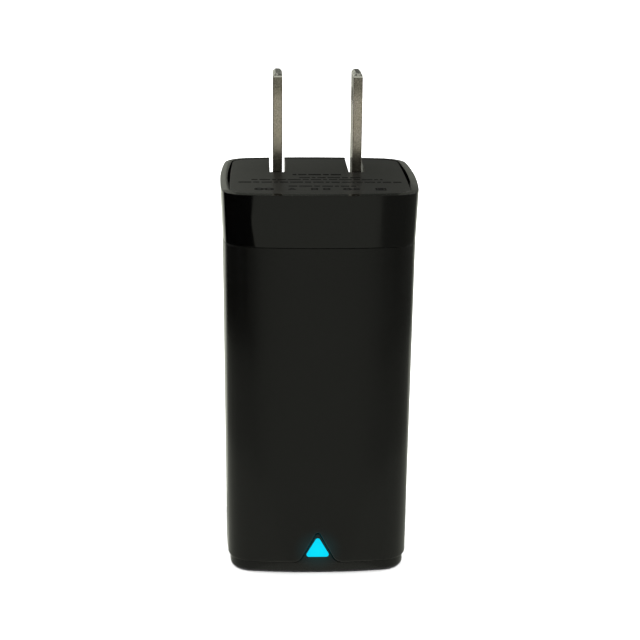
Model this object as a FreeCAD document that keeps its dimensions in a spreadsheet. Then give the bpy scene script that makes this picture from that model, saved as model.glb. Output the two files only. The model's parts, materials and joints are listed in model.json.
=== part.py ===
import FreeCAD, Part
import Sketcher
import os

# Wall charger with folding mains blades, in millimetres.
# +Z runs from the output end up to the mains end, -Y is the front with the status light,
# and the origin is the centre of the flat underside of the output end.

V = FreeCAD.Vector

DIMS = {
    # body outline, measured over the curved sides
    "width_top": 30.9, "width_mid": 30.3, "width_low": 29.8,
    "depth_top": 30.2, "depth_mid": 30.0, "depth_low": 29.8,
    "bulge_front": 86.0, "bulge_side": 120.0, "corner": 4.2, "wall": 1.5,
    # levels up the body
    "sleeve_low": 2.0, "sleeve_top": 54.3, "collar_low": 54.4, "face_top": 62.5,
    "ledge_low": 59.5, "ledge_top": 60.7, "spigot_low": 52.3,
    # mains end
    "rim": 1.15, "ledge": 2.1, "plate_fit": 0.04, "plate_gap": 0.36, "plate_bulge": 420.0,
    "plate_recess": 0.05, "rim_drop": 0.1, "rim_flat": 0.1,
    # blades, as the two-pin standard gives them
    "blade_space": 12.7, "blade_thick": 1.5, "blade_wide": 6.35, "blade_out": 15.6,
    "blade_back": 6.05, "tip_bevel": 0.4, "tip_taper": 0.45, "hole_radius": 1.55, "hole_up": 11.7,
    # hinge
    "pivot_back": 8.67, "pivot_up": 56.6, "barrel_radius": 3.2, "barrel_half": 8.4,
    "trunnion_radius": 1.6, "trunnion_half": 10.2, "fit": 0.05, "slot_wide": 2.5,
    "slot_front": 2.6, "lug_reach": 4.2, "tail_drop": 2.2, "tail_front": 2.3, "blade_soft": 0.15,
    "channel_low": 31.5,
    # cradle behind the electronics
    "cradle_front": 5.45, "cradle_back": 12.6, "cradle_low": 30.5, "cradle_top": 59.4,
    "cradle_wall": 1.0, "housing_front": 2.7, "housing_low": 50.9,
    # output end
    "cap_inset": 0.4, "cap_top": 1.85, "skirt_inset": 1.6, "skirt_wall": 1.2, "skirt_top": 8.0,
    "notch_half": 3.0, "notch_high": 5.75, "notch_mouth": 1.7, "tongue_gap": 0.2,
    "edge_soft": 0.25,
    "lens_half": 2.07, "lens_low": 2.9, "lens_high": 3.62, "lens_round": 0.4,
    # output socket
    "port_wide": 13.1, "port_deep": 5.7, "port_long": 13.8, "port_metal": 0.3, "port_low": 0.35,
    # circuit board
    "board_front": -4.05, "board_thick": 1.2, "board_half": 9.0, "board_low": 2.2, "board_top": 50.2,
}


class Size:
    """A length that keeps both its number and the expression it comes from."""

    def __init__(self, text, value):
        self.text = text
        self.value = value

    def join(self, other, sign, result):
        return Size("(%s %s %s)" % (self.text, sign, size(other).text), result)

    def __add__(self, other):
        return self.join(other, "+", self.value + size(other).value)

    def __sub__(self, other):
        return self.join(other, "-", self.value - size(other).value)

    def __mul__(self, other):
        return self.join(other, "*", self.value * size(other).value)

    def __truediv__(self, other):
        return self.join(other, "/", self.value / size(other).value)

    def __neg__(self):
        return size(0.0) - self

    def __radd__(self, other):
        return size(other) + self

    def __rsub__(self, other):
        return size(other) - self

    def __rmul__(self, other):
        return size(other) * self


def size(item):
    if isinstance(item, Size):
        return item
    return Size("%.6g" % item, float(item))


def dim(name):
    return Size("Dims." + name, DIMS[name])


doc = FreeCAD.newDocument("charger")
sheet = doc.addObject("Spreadsheet::Sheet", "Dims")
for row, (alias, number) in enumerate(DIMS.items(), start=1):
    sheet.set("A%d" % row, alias)
    sheet.set("B%d" % row, str(number))
    sheet.setAlias("B%d" % row, alias)
doc.recompute()

nodes = []


# ---------------------------------------------------------------- sketches and features

def new_body(name):
    body = doc.addObject("PartDesign::Body", name)
    body.Label = name
    nodes.append(body)
    return body


def new_sketch(body, plane, at):
    sketch = body.newObject("Sketcher::SketchObject", body.Name + "_sketch")
    origin_plane = [item for item in body.Origin.OriginFeatures if item.Role == plane][0]
    sketch.AttachmentSupport = [(origin_plane, "")]
    sketch.MapMode = "FlatFace"
    sketch.setExpression("AttachmentOffset.Base.z", size(at).text)
    return sketch


def limit(sketch, kind, args, amount):
    index = sketch.addConstraint(Sketcher.Constraint(kind, *args, size(amount).value))
    sketch.setExpression("Constraints[%d]" % index, size(amount).text)


def polygon(sketch, corners):
    """A closed outline whose every corner is fixed by its two distances from the origin."""
    start = sketch.GeometryCount
    spots = [V(size(a).value, size(b).value, 0) for a, b in corners]
    count = len(spots)
    for i in range(count):
        sketch.addGeometry(Part.LineSegment(spots[i], spots[(i + 1) % count]), False)
    for i in range(count):
        following = start + (i + 1) % count
        sketch.addConstraint(Sketcher.Constraint("Coincident", start + i, 2, following, 1))
    for i, (a, b) in enumerate(corners):
        limit(sketch, "DistanceX", (-1, 1, start + i, 1), a)
        limit(sketch, "DistanceY", (-1, 1, start + i, 1), b)
    return sketch


def rectangle(sketch, left, right, low, high):
    return polygon(sketch, [(left, low), (right, low), (right, high), (left, high)])


def disc(sketch, across, up, radius):
    index = sketch.GeometryCount
    centre = V(size(across).value, size(up).value, 0)
    sketch.addGeometry(Part.Circle(centre, V(0, 0, 1), size(radius).value), False)
    limit(sketch, "DistanceX", (-1, 1, index, 3), across)
    limit(sketch, "DistanceY", (-1, 1, index, 3), up)
    limit(sketch, "Radius", (index,), radius)
    return sketch


def arc(centre, radius, first, last):
    circle = Part.Circle(centre, V(0, 0, 1), radius)
    return Part.ArcOfCircle(circle, circle.parameter(first), circle.parameter(last))


def bulged(sketch, width, depth, inset, front_radius, side_radius):
    """A rounded rectangle with four shallow curved sides, drawn a given inset inside its edge."""
    front_centre = front_radius - depth / 2
    side_centre = side_radius - width / 2
    front = front_radius - inset
    side = side_radius - inset
    corner = dim("corner") - inset
    # corner centre: tangent inside both the side arc and the front arc
    far_x, far_y = side_centre.value, front_centre.value
    reach_x, reach_y = side.value - corner.value, front.value - corner.value
    span = (far_x ** 2 + far_y ** 2) ** 0.5
    along = (reach_x ** 2 - reach_y ** 2 + span ** 2) / (2 * span)
    aside = (reach_x ** 2 - along ** 2) ** 0.5
    ux, uy = far_x / span, -far_y / span
    cx = -far_x + along * ux - aside * uy
    cy = along * uy + aside * ux
    start = sketch.GeometryCount
    centres = [V(0, -far_y, 0), V(far_x, 0, 0), V(0, far_y, 0), V(-far_x, 0, 0)]
    signs = [(1, 1), (-1, 1), (-1, -1), (1, -1)]
    corners = [V(sx * cx, sy * cy, 0) for sx, sy in signs]

    def touch(side_index, corner_index, radius):
        direction = corners[corner_index] - centres[side_index]
        direction.normalize()
        return centres[side_index] + direction * radius

    # sides: back (+Y), left (-X), front (-Y), right (+X); corner k lies before side k
    radii = [front.value, side.value, front.value, side.value]
    for k in range(4):
        own = corners[k]
        before = (k + 3) % 4
        entry = touch(before, k, radii[before])
        leave = touch(k, k, radii[k])
        sketch.addGeometry(arc(own, corner.value, entry, leave), False)
        after = (k + 1) % 4
        sketch.addGeometry(arc(centres[k], radii[k], leave, touch(k, after, radii[k])), False)
    for k in range(8):
        joint = (start + k, 2, start + (k + 1) % 8, 1)
        sketch.addConstraint(Sketcher.Constraint("Tangent", *joint))
    back, left, fore, right = [start + 2 * k + 1 for k in range(4)]
    for index in (back, fore):
        sketch.addConstraint(Sketcher.Constraint("PointOnObject", index, 3, -2))
    for index in (left, right):
        sketch.addConstraint(Sketcher.Constraint("PointOnObject", index, 3, -1))
    sketch.addConstraint(Sketcher.Constraint("Equal", back, fore))
    sketch.addConstraint(Sketcher.Constraint("Equal", left, right))
    for k in (2, 4, 6):
        sketch.addConstraint(Sketcher.Constraint("Equal", start, start + k))
    limit(sketch, "Radius", (start,), corner)
    limit(sketch, "Radius", (back,), front)
    limit(sketch, "Radius", (left,), side)
    limit(sketch, "DistanceY", (-1, 1, back, 3), -front_centre)
    limit(sketch, "DistanceY", (-1, 1, fore, 3), front_centre)
    limit(sketch, "DistanceX", (-1, 1, left, 3), side_centre)
    limit(sketch, "DistanceX", (-1, 1, right, 3), -side_centre)
    return sketch


def extrude(body, sketch, length, cut=False):
    """Pad or pocket a sketch along its plane's normal."""
    kind = "PartDesign::Pocket" if cut else "PartDesign::Pad"
    feature = body.newObject(kind, body.Name + ("_cut" if cut else "_pad"))
    feature.Profile = sketch
    feature.Reversed = cut
    feature.setExpression("Length", size(length).text)
    return settle(body, feature)


def settle(body, feature):
    for sketch in feature.OutList:
        if sketch.TypeId == "Sketcher::SketchObject":
            sketch.Visibility = False
    body.Tip = feature
    doc.recompute()
    return feature


def sizes_at(level):
    """Width and depth at a level: the body tapers over the sleeve and flares over the collar."""
    level = size(level)
    low, high, near, far = "sleeve_low", "collar_low", "_low", "_mid"
    if level.value > dim("collar_low").value:
        low, high, near, far = "collar_low", "face_top", "_mid", "_top"
    share = (level - dim(low)) / (dim(high) - dim(low))
    return [dim(side + near) + (dim(side + far) - dim(side + near)) * share
            for side in ("width", "depth")]


def outline_at(body, level, inset):
    width, depth = sizes_at(level)
    sketch = new_sketch(body, "XY_Plane", level)
    return bulged(sketch, width, depth, size(inset), dim("bulge_front"), dim("bulge_side"))


def loft(body, low, high, inset, cut=False, high_inset=None):
    kind = "PartDesign::SubtractiveLoft" if cut else "PartDesign::AdditiveLoft"
    first = outline_at(body, low, inset)
    second = outline_at(body, high, inset if high_inset is None else high_inset)
    doc.recompute()
    feature = body.newObject(kind, body.Name + "_loft")
    feature.Profile = first
    feature.Sections = [second]
    feature.Ruled = True
    return settle(body, feature)


def dress(body, kind, amount, chosen):
    """Fillet or chamfer the edges of the tip that a test picks out."""
    base = body.Tip
    names = ["Edge%d" % (i + 1) for i, edge in enumerate(base.Shape.Edges) if chosen(edge)]
    feature = body.newObject("PartDesign::" + kind, body.Name + "_" + kind.lower())
    feature.Base = (base, names)
    feature.setExpression("Radius" if kind == "Fillet" else "Size", size(amount).text)
    return settle(body, feature)


def along_y(edge):
    ends = [v.Point for v in edge.Vertexes]
    if len(ends) < 2:
        return False
    step = ends[1] - ends[0]
    return abs(step.y) > 0.2 and abs(step.x) < 0.02 and abs(step.z) < 0.02


# ---------------------------------------------------------------- primitives for the electronics

def block(name, x, y, z, own=True):
    """A box between two distances along each axis."""
    solid = doc.addObject("Part::Box", name)
    for prop, axis, (low, high) in zip(("Length", "Width", "Height"), "xyz", (x, y, z)):
        solid.setExpression(prop, (size(high) - size(low)).text)
        solid.setExpression("Placement.Base." + axis, size(low).text)
    return claim(solid, own)


def rod(name, start, radius, length, along="z", own=True):
    """A cylinder from a start point along one axis."""
    solid = doc.addObject("Part::Cylinder", name)
    turn = {"x": (V(0, 1, 0), 90), "y": (V(1, 0, 0), -90), "z": (V(0, 0, 1), 0)}[along]
    solid.Placement.Rotation = FreeCAD.Rotation(*turn)
    solid.setExpression("Radius", size(radius).text)
    solid.setExpression("Height", size(length).text)
    for axis, amount in zip("xyz", start):
        solid.setExpression("Placement.Base." + axis, size(amount).text)
    return claim(solid, own)


def claim(solid, own):
    if own:
        solid.Label = solid.Name
        nodes.append(solid)
    return solid


def merge(name, pieces):
    whole = doc.addObject("Part::MultiFuse", name)
    whole.Shapes = pieces
    whole.Refine = True
    return claim(whole, True)


def carve(name, base, tools, own=True):
    tool = tools[0]
    if len(tools) > 1:
        tool = doc.addObject("Part::MultiFuse", name + "_tools")
        tool.Shapes = tools
    whole = doc.addObject("Part::Cut", name)
    whole.Base = base
    whole.Tool = tool
    return claim(whole, own)


# ---------------------------------------------------------------- shared positions

pivot_y = dim("pivot_back")
pivot_z = dim("pivot_up")
blade_x = dim("blade_space") / 2
slot_in = blade_x - dim("slot_wide") / 2
slot_out = blade_x + dim("slot_wide") / 2
board_face = dim("board_front")
board_back = board_face + dim("board_thick")
port_top = dim("port_low") + dim("port_long")
lead_level = dim("housing_low") - 3.4
FAR = 20.0
LUG_SHARE = 0.68


def channel(body, side, depth_from, low, high, extent=FAR):
    """Cut one blade channel: a slot in X, open towards the back."""
    left = slot_in if side > 0 else -slot_out
    sketch = new_sketch(body, "XZ_Plane", -size(extent))
    rectangle(sketch, left, left + dim("slot_wide"), low, high)
    extrude(body, sketch, size(extent) - depth_from, cut=True)


# ---------------------------------------------------------------- housing

def on_skin(point):
    """True on the outer surface of the lower body, false on the inside of its wall."""
    corner = dim("corner").value
    beyond_x = abs(point.x) - dim("width_low").value / 2 + corner
    beyond_y = abs(point.y) - dim("depth_low").value / 2 + corner
    return V(max(beyond_x, 0), max(beyond_y, 0), 0).Length > corner - dim("wall").value * 0.7


def main_sleeve():
    body = new_body("main_sleeve")
    low, top = dim("sleeve_low"), dim("sleeve_top")
    loft(body, low, top, 0.0)
    loft(body, low, top, dim("wall"), cut=True)
    for side in (-1, 1):
        channel(body, side, 4.0, dim("channel_low"), top + 1)
    notch = new_sketch(body, "XZ_Plane", 4.0)
    half, high = dim("notch_half"), dim("notch_high")
    below = half * 1.25
    corners = [(-below, low - high / 4), (below, low - high / 4), (0.0, low + high)]
    polygon(notch, corners)
    extrude(body, notch, FAR, cut=True)

    def at_apex(edge):
        return along_y(edge) and abs(edge.CenterOfMass.x) < 0.1 and edge.CenterOfMass.z < 12

    def at_mouth(edge):
        middle = edge.CenterOfMass
        return along_y(edge) and 2.5 < abs(middle.x) < 4 and middle.z < 2.2 and middle.y < 0

    def outer_edge(edge):
        box = edge.BoundBox
        if box.ZMax > (low + high).value + 0.2 or along_y(edge):
            return False
        return all(on_skin(point) for point in edge.discretize(3))

    dress(body, "Fillet", 0.45, at_apex)
    dress(body, "Fillet", dim("notch_mouth"), at_mouth)
    dress(body, "Fillet", dim("edge_soft"), outer_edge)


def collar_ring(body):
    """The gloss band round the mains end, with the seat for the end plate."""
    low, top = dim("collar_low"), dim("face_top")
    shoulder = top - dim("rim_drop")
    loft(body, low, shoulder, 0.0)
    loft(body, shoulder, top, 0.0, high_inset=dim("rim") - dim("rim_flat"))
    loft(body, low, dim("ledge_low"), dim("wall"), cut=True)
    loft(body, dim("ledge_low"), dim("ledge_top"), dim("ledge"), cut=True)
    loft(body, dim("ledge_top"), top, dim("rim"), cut=True)


def mains_collar():
    body = new_body("mains_collar")
    collar_ring(body)
    inner = dim("wall") + 0.05
    loft(body, dim("spigot_low"), dim("collar_low"), inner)
    loft(body, dim("spigot_low"), dim("collar_low"), inner + 0.9, cut=True)
    loft(body, dim("collar_low"), dim("collar_low") + 0.8, dim("wall") - 0.2)
    loft(body, dim("spigot_low"), dim("collar_low") + 0.8, inner + 0.9, cut=True)
    gap = new_sketch(body, "XY_Plane", dim("spigot_low") - 1)
    rectangle(gap, -slot_out, slot_out, dim("cradle_front") - 0.3, FAR)
    extrude(body, gap, FAR, cut=True)
    clear = new_sketch(body, "XY_Plane", dim("spigot_low") - 1)
    wide = dim("trunnion_half") + 0.3
    rectangle(clear, -wide, wide, dim("cradle_front") - 0.3, FAR)
    extrude(body, clear, dim("collar_low") - dim("spigot_low") + 1, cut=True)
    room = new_sketch(body, "XY_Plane", dim("collar_low") - 1)
    rectangle(room, -wide, wide, dim("cradle_front") - 0.3, dim("cradle_back") + 0.1)
    extrude(body, room, 2.2, cut=True)


def collar_rear_segment():
    """The stretch of collar between the two blade channels."""
    body = new_body("collar_rear_segment")
    collar_ring(body)
    trim = new_sketch(body, "XY_Plane", dim("collar_low") - 1)
    rectangle(trim, -FAR, FAR, -FAR, FAR)
    rectangle(trim, -slot_in, slot_in, dim("cradle_front"), FAR - 1)
    extrude(body, trim, FAR, cut=True)
    foot = new_sketch(body, "XY_Plane", dim("collar_low"))
    rectangle(foot, -3.6, 3.6, dim("cradle_back") - 0.6, dim("depth_top") / 2 - dim("wall"))
    extrude(body, foot, 1.4)


def end_plate():
    body = new_body("end_plate")
    low = dim("ledge_top")
    thick = dim("face_top") - low - dim("plate_recess")
    inset = dim("rim") + dim("plate_fit")
    narrow = (dim("plate_gap") - dim("plate_fit")) * 2
    face = new_sketch(body, "XY_Plane", low)
    width, depth = sizes_at(low)
    bulged(face, width - narrow, depth, inset, dim("bulge_front"), dim("plate_bulge"))
    extrude(body, face, thick)
    for side in (-1, 1):
        channel(body, side, dim("slot_front"), low - 1, dim("face_top") + 1)
    keeper_low = dim("cradle_top") + 0.05
    keeper = new_sketch(body, "XY_Plane", keeper_low)
    reach = dim("trunnion_radius") + 0.1
    outer = dim("trunnion_half") - 0.2
    for left in (dim("barrel_half") + 0.4, -outer):
        right = outer if left.value > 0 else -(dim("barrel_half") + 0.4)
        rectangle(keeper, left, right, pivot_y - reach, pivot_y + reach)
    extrude(body, keeper, low - keeper_low + 0.2)

    def top_rim(edge):
        box = edge.BoundBox
        level = (dim("face_top") - dim("plate_recess")).value
        return box.ZLength < 0.01 and abs(box.ZMin - level) < 0.01

    dress(body, "Chamfer", 0.12, top_rim)


def end_cap():
    body = new_body("end_cap")
    inset = dim("cap_inset")
    level = dim("cap_top")
    base = new_sketch(body, "XY_Plane", 0.0)
    bulge = (dim("bulge_front"), dim("bulge_side"))
    bulged(base, dim("width_low"), dim("depth_low"), inset, *bulge)
    extrude(body, base, level)

    def underside(edge):
        return edge.BoundBox.ZMax < 0.01

    dress(body, "Fillet", 0.45, underside)
    skirt = new_sketch(body, "XY_Plane", level - 0.2)
    bulged(skirt, dim("width_low"), dim("depth_low"), dim("skirt_inset"), *bulge)
    bulged(skirt, dim("width_low"), dim("depth_low"), dim("skirt_inset") + dim("skirt_wall"), *bulge)
    extrude(body, skirt, dim("skirt_top") - level + 0.2)
    front = dim("depth_low") / 2 - inset
    tongue = new_sketch(body, "XZ_Plane", front - 2)
    slope = dim("notch_half") / dim("notch_high")
    gap = dim("tongue_gap")
    apex = dim("sleeve_low") + dim("notch_high") - gap * 2 - 0.05
    low = level - 0.2
    half = (apex - level) * slope
    foot = half + dim("notch_mouth") * 0.75
    polygon(tongue, [
        (-foot, low), (foot, low), (foot, level), (half, level),
        (0.0, apex), (-half, level), (-foot, level),
    ])
    extrude(body, tongue, 2.0)

    def tongue_apex(edge):
        return along_y(edge) and abs(edge.CenterOfMass.x) < 0.1 and edge.CenterOfMass.z > 4

    def tongue_root(edge):
        middle = edge.CenterOfMass
        at_side = abs(abs(middle.x) - half.value) < 0.05 and middle.y < 0
        return along_y(edge) and at_side and abs(middle.z - level.value) < 0.01

    dress(body, "Fillet", 0.35, tongue_apex)
    dress(body, "Fillet", dim("notch_mouth") + gap * 0.7, tongue_root)
    port = new_sketch(body, "XY_Plane", -1.0)
    wide, deep = dim("port_wide") / 2 + 0.1, dim("port_deep") / 2 + 0.1
    rectangle(port, -wide, wide, -deep, deep)
    extrude(body, port, 5.0, cut=True)
    window = new_sketch(body, "XZ_Plane", 5.0)
    lens_outline(window, 0.02)
    extrude(body, window, FAR, cut=True)

    def window_corner(edge):
        return along_y(edge) and near_lens_corner(edge.CenterOfMass)

    dress(body, "Fillet", dim("lens_round"), window_corner)
    for side in (-1, 1):
        rail = new_sketch(body, "XY_Plane", level - 0.2)
        inner = dim("board_half") - 0.9
        outer = dim("board_half") + 1.0
        left, right = (inner, outer) if side > 0 else (-outer, -inner)
        y_low, y_high = board_face - 1.1, board_back + 1.1
        rectangle(rail, left, right, y_low, y_high)
        extrude(body, rail, 8.0)
        groove = new_sketch(body, "XY_Plane", dim("board_low"))
        edge_line = dim("board_half") + 0.05
        left, right = (0.0, edge_line) if side > 0 else (-edge_line, 0.0)
        rectangle(groove, left, right, board_face - 0.03, board_back + 0.03)
        extrude(body, groove, 10.0, cut=True)


def lens_outline(sketch, spare):
    half, low, high = dim("lens_half"), dim("lens_low"), dim("lens_high")
    polygon(sketch, [(-half - spare, low - spare), (half + spare, low - spare),
                     (0.0, low + high + spare * 2)])
    return sketch


def near_lens_corner(point):
    half, low, high = [dim(name).value for name in ("lens_half", "lens_low", "lens_high")]
    corners = [V(-half, 0, low), V(half, 0, low), V(0, 0, low + high)]
    return min((V(point.x, 0, point.z) - corner).Length for corner in corners) < 0.1


def led_lens():
    body = new_body("led_lens")
    front = dim("depth_low") / 2 - dim("cap_inset") + 0.08
    back = 5.6
    outline = new_sketch(body, "XZ_Plane", back)
    lens_outline(outline, 0.0)
    extrude(body, outline, front - back)
    dress(body, "Fillet", dim("lens_round"), along_y)

    def front_rim(edge):
        return edge.BoundBox.YMax < -(front.value - 0.01)

    dress(body, "Fillet", 0.07, front_rim)


# ---------------------------------------------------------------- folding plug

def plug_cradle():
    body = new_body("plug_cradle")
    front, back = dim("cradle_front"), dim("cradle_back")
    low, top = dim("cradle_low"), dim("cradle_top")
    deep_front, deep_low = dim("housing_front"), dim("housing_low")
    wall = dim("cradle_wall")
    reach = dim("trunnion_half")
    block_out = slot_out + 1.1
    outer = new_sketch(body, "YZ_Plane", -reach)
    polygon(outer, [(front, low), (back, low), (back, top), (deep_front, top),
                    (deep_front, deep_low), (front, deep_low)])
    extrude(body, outer, reach * 2)
    for side in (-1, 1):
        start = block_out if side > 0 else -reach - 1
        flank = new_sketch(body, "YZ_Plane", start)
        rectangle(flank, 0.0, FAR, low - 1, deep_low)
        extrude(body, flank, reach + 1 - block_out, cut=True)
        nose = new_sketch(body, "YZ_Plane", start)
        rectangle(nose, 0.0, front, deep_low - 1, top + 1)
        extrude(body, nose, reach + 1 - block_out, cut=True)
        start = slot_in if side > 0 else -slot_out
        trough = new_sketch(body, "YZ_Plane", start)
        pit_front = pivot_y - dim("lug_reach") - 0.35
        pit_low = pivot_z - dim("lug_reach") - 0.4
        polygon(trough, [(front + wall, dim("channel_low")), (FAR, dim("channel_low")),
                         (FAR, top + 1), (pit_front, top + 1), (pit_front, pit_low),
                         (front + wall, pit_low)])
        extrude(body, trough, dim("slot_wide"), cut=True)
    middle = new_sketch(body, "YZ_Plane", -(slot_in - 1.1))
    ledge = pivot_z - dim("barrel_radius") - 0.75
    polygon(middle, [(front + wall, low - 1), (FAR, low - 1), (FAR, ledge - 1.2),
                     (front + wall, ledge - 1.2)])
    extrude(body, middle, (slot_in - 1.1) * 2, cut=True)
    bay = new_sketch(body, "YZ_Plane", -(slot_in - 1.1))
    rectangle(bay, 0.0, FAR, ledge, top + 1)
    extrude(body, bay, (slot_in - 1.1) * 2, cut=True)
    clear = dim("barrel_radius") + 0.3
    bearing = dim("trunnion_radius") + dim("fit")
    for radius, half in ((clear, dim("barrel_half") + 0.3), (bearing, reach + 1)):
        hole = new_sketch(body, "YZ_Plane", -half)
        disc(hole, pivot_y, pivot_z, radius)
        extrude(body, hole, half * 2, cut=True)
        mouth = new_sketch(body, "YZ_Plane", -half)
        rectangle(mouth, pivot_y - radius, pivot_y + radius, pivot_z, top + 1)
        extrude(body, mouth, half * 2, cut=True)
    for side in (-1, 1):
        start = slot_in + 0.3 if side > 0 else -slot_out + 0.3
        window = new_sketch(body, "YZ_Plane", start)
        rectangle(window, 0.0, front + wall + 0.4, deep_low - 1, pit_low + 1.6)
        extrude(body, window, dim("slot_wide") - 0.6, cut=True)


def tail_corners():
    """The blade's heel inside the carrier, with the lug that meets the contact."""
    low = pivot_z - dim("tail_drop")
    lug = dim("lug_reach") * LUG_SHARE
    return [(pivot_y - 0.6, low), (pivot_y - lug, pivot_z - lug),
            (pivot_y - lug - 0.35, pivot_z - lug + 1.3),
            (pivot_y - dim("tail_front"), pivot_z + dim("barrel_radius") + 0.15)]


def blade_side(side):
    body = new_body("blade_right" if side > 0 else "blade_left")
    thick = dim("blade_thick")
    start = side * blade_x - thick / 2
    front = dim("blade_back") - dim("blade_wide") / 2
    back = dim("blade_back") + dim("blade_wide") / 2
    tip = dim("face_top") + dim("blade_out")
    bevel = dim("tip_bevel")
    below = tip - dim("tip_taper")
    shoulder = pivot_z + dim("barrel_radius") + 0.15
    profile = new_sketch(body, "YZ_Plane", start)
    polygon(profile, [(front, shoulder), (front, below), (front + bevel, tip), (back - bevel, tip),
                      (back, below), (back, pivot_z - dim("tail_drop"))] + tail_corners())
    extrude(body, profile, thick)
    hole = new_sketch(body, "YZ_Plane", start - 1)
    disc(hole, dim("blade_back"), dim("face_top") + dim("hole_up"), dim("hole_radius"))
    extrude(body, hole, thick + 2, cut=True)

    def long_edge(edge):
        box = edge.BoundBox
        return box.ZLength > 12 and box.XLength < 0.01

    dress(body, "Fillet", dim("blade_soft"), long_edge)
    for face, outward in ((start, -1), (start + thick, 1)):
        wedge = new_sketch(body, "XZ_Plane", -FAR)
        polygon(wedge, [(face, below), (face - outward * bevel, tip), (face - outward * bevel, tip + 1),
                        (face + outward, tip + 1), (face + outward, below)])
        extrude(body, wedge, FAR * 2, cut=True)


def plug_carrier():
    body = new_body("plug_carrier")
    for radius, half in ((dim("barrel_radius"), dim("barrel_half")),
                         (dim("trunnion_radius"), dim("trunnion_half"))):
        sketch = new_sketch(body, "YZ_Plane", -half)
        disc(sketch, pivot_y, pivot_z, radius)
        extrude(body, sketch, half * 2)
    back = dim("blade_back") + dim("blade_wide") / 2
    for side in (-1, 1):
        seat = new_sketch(body, "YZ_Plane", side * blade_x - dim("blade_thick") / 2)
        polygon(seat, [(back, pivot_z + 5), (back, pivot_z - dim("tail_drop"))] + tail_corners()
                + [(pivot_y - dim("tail_front"), pivot_z + 5)])
        extrude(body, seat, dim("blade_thick"), cut=True)
    for up in (-1, 1):
        dimple = new_sketch(body, "XY_Plane", pivot_z + up * (dim("barrel_radius") + 0.35) - 0.6)
        rectangle(dimple, -1.6, 1.6, pivot_y - 0.5, pivot_y + 0.5)
        extrude(body, dimple, 1.2, cut=True)


def contact_side(side):
    """A leaf that meets the blade's lug only when the blades stand up."""
    name = "contact_right" if side > 0 else "contact_left"
    body = new_body(name)
    start = side * blade_x - 0.6
    reach = dim("lug_reach") * LUG_SHARE + 0.08
    corner_y = pivot_y - reach
    corner_z = pivot_z - reach
    low = lead_level
    profile = new_sketch(body, "YZ_Plane", start)
    polygon(profile, [(2.6, low), (2.9, low), (2.9, corner_z - 1.6), (corner_y - 0.1, corner_z - 0.15),
                      (corner_y + 0.5, corner_z - 0.45), (corner_y + 0.5, corner_z - 0.8),
                      (corner_y - 0.2, corner_z - 0.5), (3.15, corner_z - 1.75), (3.15, low - 0.25),
                      (0.4, low - 0.25), (0.4, low)])
    extrude(body, profile, 1.2)


def detent_spring():
    body = new_body("detent_spring")
    ledge = pivot_z - dim("barrel_radius") - 0.75
    strip = new_sketch(body, "YZ_Plane", -3.0)
    low = ledge + 0.02
    crest = pivot_z - dim("barrel_radius") - 0.06
    polygon(strip, [(pivot_y - 2.8, low), (pivot_y + 2.8, low), (pivot_y + 2.8, low + 0.3),
                    (pivot_y + 0.9, low + 0.3), (pivot_y + 0.35, crest), (pivot_y - 0.35, crest),
                    (pivot_y - 0.9, low + 0.3), (pivot_y - 2.8, low + 0.3)])
    extrude(body, strip, 6.0)


# ---------------------------------------------------------------- output socket

def usb_shell():
    """Folded metal shell, closed at the back, with two spring windows in each broad face."""
    body = new_body("usb_shell")
    wide, deep = dim("port_wide") / 2, dim("port_deep") / 2
    metal, low = dim("port_metal"), dim("port_low")
    tube = new_sketch(body, "XY_Plane", low)
    rectangle(tube, -wide, wide, -deep, deep)
    rectangle(tube, -wide + metal, wide - metal, -deep + metal, deep - metal)
    extrude(body, tube, dim("port_long"))
    lid = new_sketch(body, "XY_Plane", port_top - metal)
    rectangle(lid, -wide, wide, -deep, deep)
    extrude(body, lid, metal)
    spring_wide, spring_low, spring_high = 1.8, 3.2, 8.6
    for face in (deep, -deep):
        for left in (-4.4, 2.6):
            window = new_sketch(body, "XZ_Plane", face - 1)
            rectangle(window, left, left + spring_wide, low + spring_low, low + spring_high)
            extrude(body, window, 2.0, cut=True)


def usb_insert():
    """Plastic tongue with four grooves, and the contact strips that lie in them."""
    wide, deep, metal = dim("port_wide") / 2, dim("port_deep") / 2, dim("port_metal")
    tongue_low = dim("port_low") + 1.0
    root_low, root_high = port_top - metal - 3.4, port_top - metal
    root = block("socket_root", (-wide + metal, wide - metal), (-deep + metal, deep - metal),
                 (root_low, root_high), own=False)
    blade = block("socket_blade", (-5.5, 5.5), (0.1, 1.95), (tongue_low, root_low + 0.7), own=False)
    insert = doc.addObject("Part::MultiFuse", "socket_insert")
    insert.Shapes = [root, blade]
    half_strip, strip_low = 0.5, tongue_low + 0.8
    depth = (-0.15, 0.15)
    grooves = []
    strips = []
    for tag, centre in zip("abcd", (-3.5, -1.0, 1.0, 3.5)):
        across = (centre - half_strip, centre + half_strip)
        grooves.append(block("groove_" + tag, across, depth, (strip_low, root_high + 1), own=False))
        strips.append(block("strip_" + tag, across, depth, (strip_low, root_high - 0.1), own=False))
    carve("usb_tongue", insert, grooves)
    contacts = doc.addObject("Part::MultiFuse", "usb_contacts")
    contacts.Shapes = strips
    claim(contacts, True)


# ---------------------------------------------------------------- electronics

def circuit_board():
    half = dim("board_half")
    face = (board_face, board_back)
    panel = block("board_panel", (-half, half), face, (dim("board_low"), dim("board_top")), own=False)
    slit = block("board_slit", (-8.2, 3.5), (-FAR, FAR), (29.4, 30.4), own=False)
    carve("circuit_board", panel, [slit])


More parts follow.
